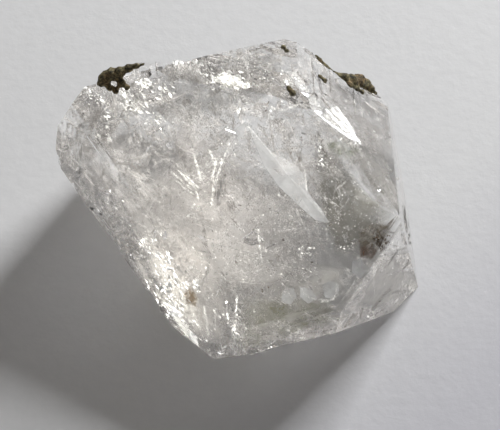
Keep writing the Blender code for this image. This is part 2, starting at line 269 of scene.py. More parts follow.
def leaf(rng, centre, normal, along, reach, bend, ripple, gap, ragged, rings, spokes, hollow):
    """A thin curved leaf with a ragged outline, kept inside the crystal; hollow makes it a gap."""
    margin, least_depth, pull_over = 0.08, 0.02, 0.5
    least_radius, least_room = 0.02, 0.01
    coarse, fine = 2.2, 6  # waves to the millimetre
    normal = unit(np.asarray(normal, float))
    along = unit(along - normal * (along @ normal))
    across = np.cross(normal, along)
    angle = np.linspace(0, 2 * math.pi, spokes, endpoint=False)
    ways = np.cos(angle)[:, None] * along + np.sin(angle)[:, None] * across
    radius = broken_outline(rng, angle, reach) * (1 + ragged * rng.normal(size=spokes))
    room = np.maximum(reach_inside(centre, ways) - margin, least_room)
    radius = np.clip(radius, least_radius, room)
    curve = rng.normal(size=3) * bend
    seed = rng.uniform(0, 100, 3)

    def spots(share):
        u, v = radius * share * np.cos(angle), radius * share * np.sin(angle)
        lift = (curve[0] * u * u + curve[1] * v * v + curve[2] * u * v) / max(reach)
        flat = centre + (radius * share)[:, None] * ways
        wobble = [noise.noise(Vector(spot * coarse + seed)) + 0.5 * noise.noise(Vector(spot * fine + seed))
                  for spot in flat]
        return flat + (lift + ripple * np.array(wobble))[:, None] * normal

    middle = centre + ripple * noise.noise(Vector(centre * coarse + seed)) * normal
    layers = [spots(number / rings) for number in range(1, rings + 1)]
    upper = [middle[None] + normal * gap / 2] + [layer + normal * gap / 2 for layer in layers[:-1]]
    lower = [middle[None] - normal * gap / 2] + [layer - normal * gap / 2 for layer in layers[:-1]]
    points = np.concatenate(upper + lower + [layers[-1]])
    sunk = depth_inside(points)
    if sunk.min() < least_depth:
        pull = np.clip((least_depth - sunk) / pull_over, 0, 1)[:, None]
        points = points + (centre - points) * pull
    return points, disc_faces(rings, spokes, hollow)


# ---------------------------------------------------------------- materials


def new_material(name):
    """A material with its nodes, its links and its main shader."""
    material = bpy.data.materials.new(name)
    material.use_nodes = True
    tree = material.node_tree
    return material, tree.nodes, tree.links, tree.nodes["Principled BSDF"]


def add_noise(nodes, links, scale, detail, roughness=0.5):
    """Noise that is fixed to the object; scale is in waves to the metre."""
    place = nodes.new("ShaderNodeTexCoord")
    texture = nodes.new("ShaderNodeTexNoise")
    texture.inputs["Scale"].default_value = scale
    texture.inputs["Detail"].default_value = detail
    texture.inputs["Roughness"].default_value = roughness
    links.new(place.outputs["Object"], texture.inputs["Vector"])
    return texture.outputs["Fac"]


def add_ramp(nodes, links, source, stops):
    """Turns a value into a colour; stops are pairs of a position and a colour."""
    ramp = nodes.new("ShaderNodeValToRGB")
    elements = ramp.color_ramp.elements
    while len(elements) < len(stops):
        elements.new(0.5)
    for element, (position, color) in zip(elements, stops):
        element.position = position
        element.color = (*color, 1)
    links.new(source, ramp.inputs["Fac"])
    return ramp.outputs["Color"]


def add_range(nodes, links, source, low, high, least, most):
    """Maps low..high of a value to least..most."""
    made = nodes.new("ShaderNodeMapRange")
    for name, value in zip(("From Min", "From Max", "To Min", "To Max"), (low, high, least, most)):
        made.inputs[name].default_value = value
    links.new(source, made.inputs["Value"])
    return made.outputs["Result"]


def add_math(nodes, links, operation, first, second):
    """Works out one value from two, each a number or the output of another node."""
    made = nodes.new("ShaderNodeMath")
    made.operation = operation
    for number, value in enumerate((first, second)):
        if isinstance(value, (int, float)):
            made.inputs[number].default_value = value
        else:
            links.new(value, made.inputs[number])
    return made.outputs["Value"]


def add_multiply(nodes, links, color):
    """A mix that multiplies a colour by its B, all of it unless its Factor is changed."""
    tone = nodes.new("ShaderNodeMix")
    tone.data_type = "RGBA"
    tone.blend_type = "MULTIPLY"
    tone.inputs["Factor"].default_value = 1.0
    links.new(color, tone.inputs["A"])
    return tone


def add_bump(nodes, links, shader, height, distance, strength):
    """Roughens a shader by a height that reaches over a distance in metres."""
    bump = nodes.new("ShaderNodeBump")
    bump.inputs["Strength"].default_value = strength
    bump.inputs["Distance"].default_value = distance
    links.new(height, bump.inputs["Height"])
    links.new(bump.outputs["Normal"], shader.inputs["Normal"])


def quartz_material(name):
    """Quartz that is seen through; how smooth it is comes after."""
    material, nodes, links, shader = new_material(name)
    shader.inputs["Base Color"].default_value = (1, 1, 1, 1)
    shader.inputs["IOR"].default_value = QUARTZ_IOR
    shader.inputs["Transmission Weight"].default_value = 1.0
    return material, nodes, links, shader


def glass_material(settings):
    """The crystal itself: tinted by depth, unevenly polished and faintly rippled."""
    material, nodes, links, shader = quartz_material("clear_quartz_glass")
    grain = add_noise(nodes, links, scale=900, detail=4)
    rough = add_range(nodes, links, grain, low=0.45, high=0.75, least=0.01, most=0.07)
    links.new(rough, shader.inputs["Roughness"])
    ripples = add_noise(nodes, links, scale=1500, detail=3, roughness=0.55)
    add_bump(nodes, links, shader, ripples, distance=0.006 * MM, strength=0.5)
    volume = nodes.new("ShaderNodeVolumeAbsorption")
    volume.inputs["Color"].default_value = (*settings.glass_tint, 1)
    volume.inputs["Density"].default_value = settings.glass_density
    links.new(volume.outputs["Volume"], nodes["Material Output"].inputs["Volume"])
    return material


def gap_material():
    """The walls of an open crack: the same quartz, seen against air."""
    material, nodes, links, shader = quartz_material("open_crack")
    shader.inputs["Roughness"].default_value = 0.05
    ripples = add_noise(nodes, links, scale=4000, detail=3, roughness=0.6)
    add_bump(nodes, links, shader, ripples, distance=0.004 * MM, strength=0.6)
    return material


def mottle(nodes, links, shader, low, high):
    """Gives a shader a fine mottle between two colours."""
    grains = add_noise(nodes, links, scale=9000, detail=2)
    tones = add_ramp(nodes, links, grains, ((0.35, low), (0.6, high)))
    links.new(tones, shader.inputs["Base Color"])


def flake_material(settings):
    """The flakes of the veils, a little satin."""
    material, nodes, links, shader = new_material("veil_flakes")
    shader.inputs["Roughness"].default_value = 0.25
    pale = tuple(settings.veil_color)
    mottle(nodes, links, shader, tuple(0.75 * part for part in pale), pale)
    return material


def facet_material():
    """Broken faces that shine where they turn towards the window."""
    material, nodes, links, shader = new_material("bright_facets")
    shader.inputs["Metallic"].default_value = 0.5
    shader.inputs["Roughness"].default_value = 0.35
    mottle(nodes, links, shader, (0.86, 0.85, 0.83), (0.96, 0.955, 0.94))
    return material


def film_material(name, color, least, most, wave, glow, fades=False):
    """A milky film: light falls on it and shines through it, and it is clear between its clouds.

    least and most are how much it hides, wave is in waves to the metre, and glow is the share of
    light that shines through. A film that fades thins out towards its rim.
    """
    material, nodes, links, shader = new_material(name)
    shader.inputs["Base Color"].default_value = (*color, 1)
    shader.inputs["Roughness"].default_value = 0.5
    through = nodes.new("ShaderNodeBsdfTranslucent")
    through.inputs["Color"].default_value = (*color, 1)
    lit = nodes.new("ShaderNodeMixShader")
    lit.inputs["Fac"].default_value = glow
    links.new(shader.outputs["BSDF"], lit.inputs[1])
    links.new(through.outputs["BSDF"], lit.inputs[2])
    cloud = add_noise(nodes, links, scale=wave, detail=4, roughness=0.65)
    share = add_range(nodes, links, cloud, low=0.4, high=0.66, least=least, most=most)
    if fades:
        rim = nodes.new("ShaderNodeAttribute")
        rim.attribute_name = "fade"
        share = add_math(nodes, links, "MULTIPLY", share, rim.outputs["Fac"])
    clear = nodes.new("ShaderNodeBsdfTransparent")
    mix = nodes.new("ShaderNodeMixShader")
    links.new(share, mix.inputs["Fac"])
    links.new(clear.outputs["BSDF"], mix.inputs[1])
    links.new(lit.outputs["Shader"], mix.inputs[2])
    links.new(mix.outputs["Shader"], nodes["Material Output"].inputs["Surface"])
    return material


def rock_material(settings):
    """Host rock: grains from black to pale, in olive, cream and rusty patches, with a rough surface."""
    material, nodes, links, shader = new_material("host_rock_crumb")
    dark, mid, pale = tuple(settings.rock_dark), tuple(settings.rock_mid), tuple(settings.rock_pale)
    olive, cream, rust = (0.55, 0.50, 0.36), (0.95, 0.95, 0.80), (1.0, 0.80, 0.62)
    grains = add_noise(nodes, links, scale=11000, detail=5, roughness=0.7)
    tones = add_ramp(nodes, links, grains, ((0.38, dark), (0.48, mid), (0.62, pale)))
    patches = add_noise(nodes, links, scale=1500, detail=3, roughness=0.6)
    tints = add_ramp(nodes, links, patches, ((0.38, olive), (0.5, cream), (0.62, rust)))
    mix = add_multiply(nodes, links, tones)
    links.new(tints, mix.inputs["B"])
    links.new(mix.outputs["Result"], shader.inputs["Base Color"])
    shader.inputs["Roughness"].default_value = 0.75
    surface = add_noise(nodes, links, scale=25000, detail=4, roughness=0.6)
    add_bump(nodes, links, shader, surface, distance=0.03 * MM, strength=1.0)
    return material


def stain_material():
    """Dark specks, from black to brown."""
    material, nodes, links, shader = new_material("brown_stain")
    black, brown, tan = (0.02, 0.012, 0.006), (0.12, 0.07, 0.04), (0.30, 0.22, 0.15)
    spots = add_noise(nodes, links, scale=5000, detail=4)
    tones = add_ramp(nodes, links, spots, ((0.35, black), (0.5, brown), (0.68, tan)))
    links.new(tones, shader.inputs["Base Color"])
    shader.inputs["Roughness"].default_value = 0.5
    return material


# ---------------------------------------------------------------- settings


class HerkimerSettings(PropertyGroup):
    glass_tint: FloatVectorProperty(
        name="Glass tint", description="Colour that light keeps as it crosses the quartz",
        subtype="COLOR", size=3, min=0, max=1, default=(0.90, 0.895, 0.875))
    glass_density: FloatProperty(
        name="Tint density", description="How fast the tint builds up, to the metre",
        default=25.0, min=0)
    veil_color: FloatVectorProperty(
        name="Veil colour", description="Colour of films and flakes inside the crystal",
        subtype="COLOR", size=3, min=0, max=1, default=(0.935, 0.91, 0.90))
    veil_sheets: IntProperty(
        name="Veils", description="How many healed cracks cross the crystal", default=230, min=0)
    flakes_per_area: FloatProperty(
        name="Flake density", description="Flakes to the square millimetre of a veil",
        default=620.0, min=0)
    flake_size: FloatProperty(
        name="Flake size", description="Usual width of a flake, in millimetres", default=0.018, min=0.001)
    film_sheets: IntProperty(
        name="Films", description="How many milky films cross the crystal", default=14, min=0)
    film_density: FloatProperty(
        name="Film density", description="How much a film hides at its thickest",
        default=0.35, min=0, max=1)
    crack_count: IntProperty(
        name="Open cracks", description="How many open cracks are scattered inside", default=60, min=0)
    rock_dark: FloatVectorProperty(
        name="Rock, dark grains", description="Colour of the bituminous grains",
        subtype="COLOR", size=3, min=0, max=1, default=(0.017, 0.014, 0.008))
    rock_mid: FloatVectorProperty(
        name="Rock, brown grains", description="Colour of most of the rock",
        subtype="COLOR", size=3, min=0, max=1, default=(0.10, 0.086, 0.045))
    rock_pale: FloatVectorProperty(
        name="Rock, pale grains", description="Colour of the palest grains",
        subtype="COLOR", size=3, min=0, max=1, default=(0.32, 0.28, 0.17))
    paper_color: FloatVectorProperty(
        name="Paper colour", description="Colour of the floor",
        subtype="COLOR", size=3, min=0, max=1, default=(0.70, 0.70, 0.70))
    window_power: FloatProperty(
        name="Window", description="Power of the window's light, in watts",
        default=0.32, min=0, unit="POWER")
    inside_power: FloatProperty(
        name="Window inside", description="Power of the window's light on the flaws inside, in watts",
        default=0.30, min=0, unit="POWER")
    fill: FloatProperty(
        name="Room light", description="Strength of the even light all round", default=0.2, min=0)


# ---------------------------------------------------------------- pieces


class HERKIMER_OT_glass(Operator):
    """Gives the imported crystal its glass"""

    bl_idname = "herkimer.glass"
    bl_label = "Clear quartz"

    def execute(self, context):
        node = frame["nodes"]["quartz_crystal"]
        node.data.materials.clear()
        node.data.materials.append(glass_material(context.scene.herkimer))
        return {"FINISHED"}


# Where scattered flaws thin out: a direction, how far along it in millimetres and over what distance
# they do, and the share that is lost past there. It leaves one end cloudy and the other clearer.
THINNED = (
    ((0.9, 0.35, 0.0), 1.6, 0.7, 0.6),
    ((-1.0, 0.0, 0.0), 4.3, 0.25, 0.5),
    ((0.85, -0.53, 0.0), 3.2, 0.25, 0.85),
)

# Where scattered flaws start: lowest and highest corner, and the least depth inside the hull.
FILM_ROOM = ((-5.2, -4.5, 0.8), (5, 4, 6), 0.4)
VEIL_ROOM = ((-6, -5.5, 0.2), (6, 5, 6.6), 0.12)
CRACK_ROOM = ((-6, -5.5, 0.3), (6, 5, 6.5), 0.2)


def cloudiness(point):
    """Share of scattered flaws that grow at a point."""
    share = 1.0
    for direction, edge, softness, lost in THINNED:
        share *= 1 - lost / (1 + math.exp((edge - point @ np.array(direction)) / softness))
    return share


def scatter_centres(rng, count, low, high, margin):
    """Random points inside the crystal, most of them in its cloudy end."""
    found = []
    while len(found) < count:
        point = rng.uniform(low, high)
        if depth_inside(point[None])[0] > margin and rng.uniform() < cloudiness(point):
            found.append(point)
    return found


def shallow_centres(rng, count, low, high):
    """Random points not far below the faces that the camera sees, in one part of the view."""
    depths, margin = (0.1, 2.2), 0.05
    away_facing, skipped = 0.2, 0.6  # faces that turn from the camera get fewer
    found = []
    while len(found) < count:
        x, y = rng.uniform(low, high)
        spot, line, face = look(x, y)
        point = spot + line * rng.uniform(*depths)
        if face[1] > away_facing and rng.uniform() < skipped:
            continue
        if depth_inside(point[None])[0] > margin and rng.uniform() < cloudiness(point):
            found.append(point)
    return found


def lean_in_view(degrees):
    """A direction across the view, in degrees from the view's right."""
    right, up, _ = view_axes()
    turn = math.radians(degrees)
    return right * math.cos(turn) + up * math.sin(turn)


class HERKIMER_OT_films(Operator):
    """Adds milky films that cloud the crystal"""

    bl_idname = "herkimer.films"
    bl_label = "Milky films"

    def execute(self, context):
        settings = context.scene.herkimer
        facing = np.array((0, -0.4, 0.8))  # towards the camera, more or less
        reach = (0.8, 2.8)
        rng = np.random.default_rng(21)
        leaves = []
        for centre in scatter_centres(rng, settings.film_sheets, *FILM_ROOM):
            normal = unit(rng.normal(size=3) + facing)
            leaves.append(leaf(rng, centre, normal, rng.normal(size=3), rng.uniform(*reach, 2),
                               bend=0.5, ripple=0.12, gap=0.004, ragged=0.12, rings=9, spokes=40,
                               hollow=False))
        material = film_material("milky_film", tuple(settings.veil_color), least=0.0,
                                 most=settings.film_density, wave=1300, glow=0.5)
        new_piece("milky_films", *join(leaves), material, "clear_quartz", smooth=True)
        return {"FINISHED"}


class Heap:
    """Flakes gathered from many features, to be made into pieces together."""

    MOST = 45000  # flakes in one piece

    def __init__(self, seed):
        self.rng = np.random.default_rng(seed)
        self.rows = []

    def add(self, points, normals, along, lengths, widths, margin=0.03):
        """Keeps the flakes that lie deeper than a margin."""
        rows = np.column_stack([points, normals, along, lengths, widths])
        self.rows.append(rows[depth_inside(points) > margin])

    def meshes(self, thickness=0.12):
        """The gathered flakes as points and faces, one piece's worth at a time."""
        rows = np.concatenate(self.rows)
        for start in range(0, len(rows), self.MOST):
            part = rows[start:start + self.MOST]
            yield flakes(part[:, :3], part[:, 3:6], part[:, 6:9], part[:, 9], part[:, 10], thickness)


# Kinds of veil: how many sheets, how many flakes to the area and how wide a flake, each as a
# multiple of its setting, the reach along and across in millimetres, how long a flake is for its
# width, and how much a sheet turns to shine towards the camera.
WIDE_VEIL = (1, 1, 0.75, (0.95, 0.5), (1.3, 2.6), 0.6)
NARROW_VEIL = (2, 3, 1, (0.28, 0.09), (3, 9), 0.0)
HAZE_VEIL = (1, 3.5, 0.7, (0.20, 0.10), (1.5, 5), 2.0)

# Where fine haze lies just under the faces: two corners in the view's pixels, and how much of it
# there is for each veil.
HAZE = (
    ((60, 45), (415, 360), 3.7),
    ((135, 232), (198, 322), 1.3),
    ((175, 290), (240, 350), 0.3),
    ((225, 255), (350, 338), 0.7),
    ((315, 140), (394, 262), 0.6),
    ((285, 195), (362, 300), 0.6),
    ((325, 66), (398, 150), 0.3),
)


class HERKIMER_OT_veils(Operator):
    """Adds veils of tiny flakes along healed cracks"""

    bl_idname = "herkimer.veils"
    bl_label = "Veils"

    grain_lean = (122, 30)  # degrees from the view's right, usual and spread
    grained = 0.7  # share of sheets whose flakes follow that lean
    reach_spread, width_spread = 0.5, 0.4  # how unlike the sheets and the flakes are in size
    bend, lift_spread = 0.2, 0.015  # how a sheet curves, and how far flakes stray from it
    tilt, swerve = 0.35, 0.15  # how much single flakes turn out of their sheet and within it
    margin = 0.05  # least depth inside the hull, in millimetres

    def execute(self, context):
        settings = context.scene.herkimer
        heap = Heap(5)
        self.grow(heap, settings, WIDE_VEIL)
        self.grow(heap, settings, NARROW_VEIL)
        for low, high, amount in HAZE:
            self.grow(heap, settings, HAZE_VEIL, amount, (low, high))
        material = flake_material(settings)
        for number, mesh in enumerate(heap.meshes(), 1):
            new_piece(f"veil_flakes_{number}", *mesh, material, "clear_quartz")
        return {"FINISHED"}

    def grow(self, heap, settings, kind, amount=1, part=None):
        """Adds curved sheets of flakes of one kind, all through the crystal or in a part of the view."""
        sheets, crowding, size, usual_reach, stretches, facing = kind
        rng = heap.rng
        bright = unit(to_key() + view_axes()[2])
        density = settings.flakes_per_area * crowding
        width = settings.flake_size * size
        wanted = int(settings.veil_sheets * sheets * amount)
        if part:
            centres = shallow_centres(rng, wanted, *part)
        else:
            centres = scatter_centres(rng, wanted, *VEIL_ROOM)
        for centre in centres:
            normal = unit(rng.normal(size=3) + facing * bright)
            if rng.uniform() < self.grained:
                grain = lean_in_view(rng.normal(*self.grain_lean))
            else:
                grain = rng.normal(size=3)
            first = unit(np.cross(normal, np.cross(grain, normal)))
            second = np.cross(normal, first)
            reach = np.exp(rng.normal(size=2) * self.reach_spread) * usual_reach
            count = int(density * reach[0] * reach[1])
            u, v = rng.normal(size=(2, count)) * reach[:, None] * 0.5
            bend = rng.normal(size=3) * self.bend
            lift = bend[0] * u * u + bend[1] * v * v + bend[2] * u * v
            lift = lift + rng.normal(size=count) * self.lift_spread
            places = centre + u[:, None] * first + v[:, None] * second + lift[:, None] * normal
            widths = np.exp(rng.normal(size=count) * self.width_spread) * width
            heap.add(places, normal + rng.normal(size=(count, 3)) * self.tilt,
                     first + rng.normal(size=(count, 3)) * self.swerve,
                     widths * rng.uniform(*stretches), widths, self.margin)


class HERKIMER_OT_cracks(Operator):
    """Adds open cracks, which flash where they throw light back"""

    bl_idname = "herkimer.cracks"
    bl_label = "Open cracks"

    def execute(self, context):
        settings = context.scene.herkimer
        usual_reach, spread = 0.26, 0.5
        rng = np.random.default_rng(8)
        leaves = []
        for centre in scatter_centres(rng, settings.crack_count, *CRACK_ROOM):
            leaves.append(leaf(rng, centre, rng.normal(size=3), rng.normal(size=3),
                               np.exp(rng.normal(size=2) * spread) * usual_reach, bend=0.14,
                               ripple=0.02, gap=0.008, ragged=0.05, rings=6, spokes=24, hollow=True))
        new_piece("open_cracks", *join(leaves), gap_material(), "clear_quartz", smooth=True)
        return {"FINISHED"}


# Clusters of white flecks: centre and half-size in the view's pixels, how many, their depths and
# lengths in millimetres, and the lean of their long side in degrees from the view's right.
FLECKS = (
    ((228, 79), (9, 4), 230, (0.05, 0.4), (0.06, 0.24), 158),
    ((241, 85), (8, 2.5), 110, (0.05, 0.4), (0.05, 0.16), 158),
    ((212, 80), (6, 4), 22, (0.1, 0.6), (0.04, 0.12), 150),
    ((145, 84), (6, 3), 80, (0.05, 0.4), (0.05, 0.20), 165),
    ((128, 100), (11, 12), 130, (0.1, 1.2), (0.04, 0.24), 122),
    ((137, 108), (7, 3.5), 60, (0.05, 0.6), (0.05, 0.18), 150),
    ((157, 121), (9, 4), 60, (0.1, 0.8), (0.04, 0.12), 170),
    ((163, 92), (7, 8), 60, (0.1, 1.0), (0.04, 0.18), 128),
    ((180, 64), (5, 3), 26, (0.05, 0.5), (0.05, 0.14), 110),
    ((199, 63), (5, 3), 22, (0.05, 0.5), (0.05, 0.14), 120),
    ((205, 72), (9, 5), 26, (0.1, 0.8), (0.04, 0.12), 130),
    ((87, 95), (7, 6), 40, (0.05, 0.6), (0.04, 0.14), 140),
    ((99, 99), (5, 6), 26, (0.1, 0.8), (0.04, 0.12), 120),
    ((108, 118), (2, 12), 40, (0.1, 0.8), (0.04, 0.14), 100),
    ((98, 137), (2, 5), 20, (0.1, 0.6), (0.04, 0.12), 95),
    ((109, 137), (2, 5), 20, (0.1, 0.6), (0.04, 0.12), 95),
    ((76, 141), (1.5, 1.5), 14, (0.05, 0.2), (0.03, 0.07), 120),
    ((67, 134), (2, 1), 10, (0.05, 0.2), (0.03, 0.07), 150),
    ((243, 108), (9, 9), 60, (0.2, 1.2), (0.03, 0.12), 120),
    ((268, 70), (12, 6), 40, (0.1, 0.8), (0.03, 0.10), 150),
    ((288, 83), (4, 4), 40, (0.05, 0.3), (0.04, 0.12), 150),
    ((282, 105), (14, 8), 30, (0.2, 1.0), (0.03, 0.10), 150),
    ((227, 148), (6, 6), 26, (0.2, 1.0), (0.04, 0.12), 70),
    ((320, 155), (2, 8), 30, (0.1, 0.6), (0.04, 0.12), 75),
    ((323, 163), (5, 3), 20, (0.1, 0.6), (0.04, 0.10), 150),
    ((350, 180), (24, 34), 200, (0.2, 1.2), (0.02, 0.07), 70),
    ((350, 220), (22, 24), 120, (0.2, 1.0), (0.02, 0.06), 70),
    ((160, 272), (10, 12), 70, (0.1, 1.0), (0.04, 0.18), 120),
    ((168, 285), (9, 10), 90, (0.05, 0.8), (0.05, 0.30), 110),
    ((180, 308), (9, 14), 90, (0.1, 1.0), (0.05, 0.22), 120),
    ((208, 288), (12, 14), 40, (0.2, 1.2), (0.03, 0.12), 110),
    ((215, 262), (22, 18), 80, (0.3, 1.8), (0.02, 0.10), 100),
    ((225, 240), (24, 20), 70, (0.3, 2.0), (0.02, 0.08), 100),
    ((268, 215), (34, 26), 90, (0.4, 2.2), (0.02, 0.08), 110),
    ((325, 232), (18, 16), 60, (0.1, 0.8), (0.02, 0.08), 60),
    ((302, 272), (26, 12), 60, (0.1, 0.8), (0.02, 0.08), 150),
    ((255, 265), (24, 16), 60, (0.1, 0.8), (0.02, 0.08), 120),
    ((304, 250), (9, 4), 26, (0.2, 0.8), (0.04, 0.12), 30),
    ((340, 250), (10, 5), 20, (0.2, 0.8), (0.03, 0.10), 20),
    ((150, 235), (12, 8), 60, (0.1, 1.0), (0.03, 0.14), 120),
    ((145, 247), (6, 8), 60, (0.1, 0.6), (0.04, 0.16), 120),
    ((190, 265), (20, 18), 70, (0.2, 1.4), (0.02, 0.10), 115),
    ((178, 290), (14, 12), 60, (0.1, 1.0), (0.03, 0.16), 110),
    ((166, 268), (8, 10), 44, (0.05, 0.6), (0.04, 0.24), 115),
    ((170, 297), (7, 10), 110, (0.05, 0.5), (0.05, 0.20), 120),
    ((158, 258), (9, 10), 46, (0.05, 0.6), (0.05, 0.30), 118),
    ((170, 282), (9, 12), 120, (0.05, 0.6), (0.05, 0.32), 118),
    ((183, 306), (7, 12), 120, (0.05, 0.6), (0.06, 0.22), 120),
    ((146, 240), (9, 7), 40, (0.05, 0.6), (0.06, 0.20), 125),
    ((196, 285), (2.5, 6), 40, (0.05, 0.3), (0.06, 0.20), 115),
    ((222, 318), (8, 16), 20, (0.1, 0.7), (0.03, 0.14), 100),
    ((191, 322), (5, 12), 40, (0.05, 0.6), (0.05, 0.20), 120),
    ((120, 215), (8, 10), 30, (0.1, 0.8), (0.03, 0.12), 120),
    ((205, 204), (12, 10), 26, (0.2, 0.8), (0.03, 0.08), 120),
    ((170, 215), (26, 18), 80, (0.2, 1.2), (0.02, 0.09), 120),
    ((209, 350), (1.5, 1.5), 14, (0.03, 0.2), (0.03, 0.08), 120),
    ((217, 356), (2, 1.2), 14, (0.03, 0.2), (0.03, 0.08), 150),
    ((240, 330), (5, 20), 60, (0.1, 0.8), (0.03, 0.14), 95),
)

# Bright strands: ends in the view's pixels, depth at each end, how many flecks, half-width in
# pixels and fleck length in millimetres.
STRANDS = (
    ((191, 149), (196, 163), (0.5, 0.4), 40, 0.9, 0.15),
    ((195, 160), (201, 180), (0.5, 0.4), 56, 1.1, 0.16),
    ((209, 150), (216, 165), (0.4, 0.3), 44, 1.0, 0.14),
    ((216, 163), (211, 180), (0.4, 0.3), 56, 1.2, 0.15),
    ((231, 142), (220, 164), (0.5, 0.3), 40, 1.4, 0.13),
    ((221, 164), (215, 182), (0.4, 0.3), 40, 1.0, 0.14),
    ((213, 180), (212, 206), (0.4, 0.5), 34, 1.1, 0.14),
    ((172, 172), (192, 190), (0.5, 0.4), 44, 0.8, 0.15),
    ((178, 170), (195, 188), (0.5, 0.4), 44, 0.8, 0.15),
    ((184, 174), (198, 187), (0.4, 0.4), 40, 0.8, 0.14),
    ((176, 180), (193, 194), (0.6, 0.4), 40, 0.8, 0.14),
    ((195, 187), (199, 200), (0.5, 0.4), 30, 1.2, 0.14),
    ((186, 178), (210, 178), (0.4, 0.4), 50, 7.0, 0.10),
    ((206, 172), (222, 160), (0.4, 0.4), 44, 6.0, 0.09),
    ((216, 232), (213, 205), (0.9, 0.6), 16, 2.5, 0.10),
    ((165, 302), (196, 344), (0.06, 0.05), 460, 2.7, 0.24),
    ((186, 300), (200, 330), (0.2, 0.15), 60, 1.0, 0.16),
    ((203, 306), (208, 336), (0.2, 0.15), 80, 1.0, 0.16),
    ((214, 308), (215, 330), (0.3, 0.2), 30, 0.7, 0.12),
    ((227, 308), (228, 322), (0.3, 0.2), 26, 0.7, 0.12),
    ((237, 296), (233, 350), (0.4, 0.2), 60, 0.9, 0.14),
    ((256, 219), (262, 262), (0.4, 0.4), 56, 1.0, 0.11),
    ((298, 285), (308, 297), (0.3, 0.2), 16, 1.2, 0.08),
    ((308, 297), (322, 302), (0.2, 0.2), 16, 1.2, 0.08),
    ((322, 302), (334, 299), (0.2, 0.2), 20, 1.4, 0.09),
    ((334, 299), (339, 283), (0.2, 0.3), 30, 1.6, 0.10),
    ((278, 289), (283, 303), (0.3, 0.2), 12, 1.2, 0.07),
    ((283, 303), (297, 306), (0.2, 0.2), 12, 1.2, 0.07),
    ((262, 262), (300, 268), (0.3, 0.3), 30, 1.8, 0.08),
    ((240, 268), (252, 282), (0.3, 0.3), 20, 1.2, 0.08),
    ((344, 262), (352, 286), (0.3, 0.2), 24, 1.2, 0.08),
    ((373, 262), (376, 300), (0.15, 0.12), 36, 1.2, 0.09),
    ((302, 306), (310, 316), (0.2, 0.15), 20, 1.6, 0.08),
    ((304.6, 168), (306.5, 192), (0.25, 0.25), 40, 0.5, 0.10),
    ((254, 118), (247, 124), (0.3, 0.3), 10, 0.5, 0.06),
    ((247, 125), (271, 153), (0.3, 0.35), 26, 0.5, 0.07),
    ((271, 153), (299, 168), (0.35, 0.4), 22, 0.5, 0.07),
    ((308, 195), (332, 226), (0.4, 0.4), 18, 0.4, 0.06),
    ((262, 106), (282, 111), (0.3, 0.3), 20, 0.8, 0.08),
    ((282, 111), (300, 104), (0.3, 0.3), 24, 0.9, 0.08),
    ((366, 154), (376, 184), (0.15, 0.15), 16, 0.5, 0.06),
    ((376, 184), (397, 206), (0.15, 0.15), 12, 0.4, 0.05),
    ((333, 109), (358, 140), (0.04, 0.03), 44, 1.3, 0.24),
    ((338, 108), (360, 142), (0.05, 0.03), 38, 1.0, 0.26),
    ((328, 111), (352, 136), (0.04, 0.03), 32, 1.0, 0.20),
    ((322, 118), (361, 144), (0.03, 0.02), 36, 0.6, 0.16),
    ((309, 100), (321, 116), (0.03, 0.03), 14, 0.8, 0.10),
    ((292, 74), (307, 91), (0.03, 0.03), 12, 0.8, 0.10),
    ((133, 112), (118, 86), (0.4, 0.3), 40, 1.6, 0.12),
    ((148, 104), (140, 90), (0.5, 0.4), 26, 1.4, 0.12),
    ((172, 140), (155, 128), (0.5, 0.4), 16, 0.8, 0.08),
    ((171, 155), (160, 146), (0.5, 0.4), 12, 0.7, 0.08),
    ((305, 296), (330, 302), (0.2, 0.2), 20, 0.8, 0.07),
    ((330, 302), (345, 290), (0.2, 0.2), 20, 0.8, 0.07),
)


def place_fleck(x, y, depth):
    """A point behind (x, y), and the normal that faces both the camera and the window."""
    spot, line, _ = look(x, y)
    return spot + line * depth, unit(-line + to_key())


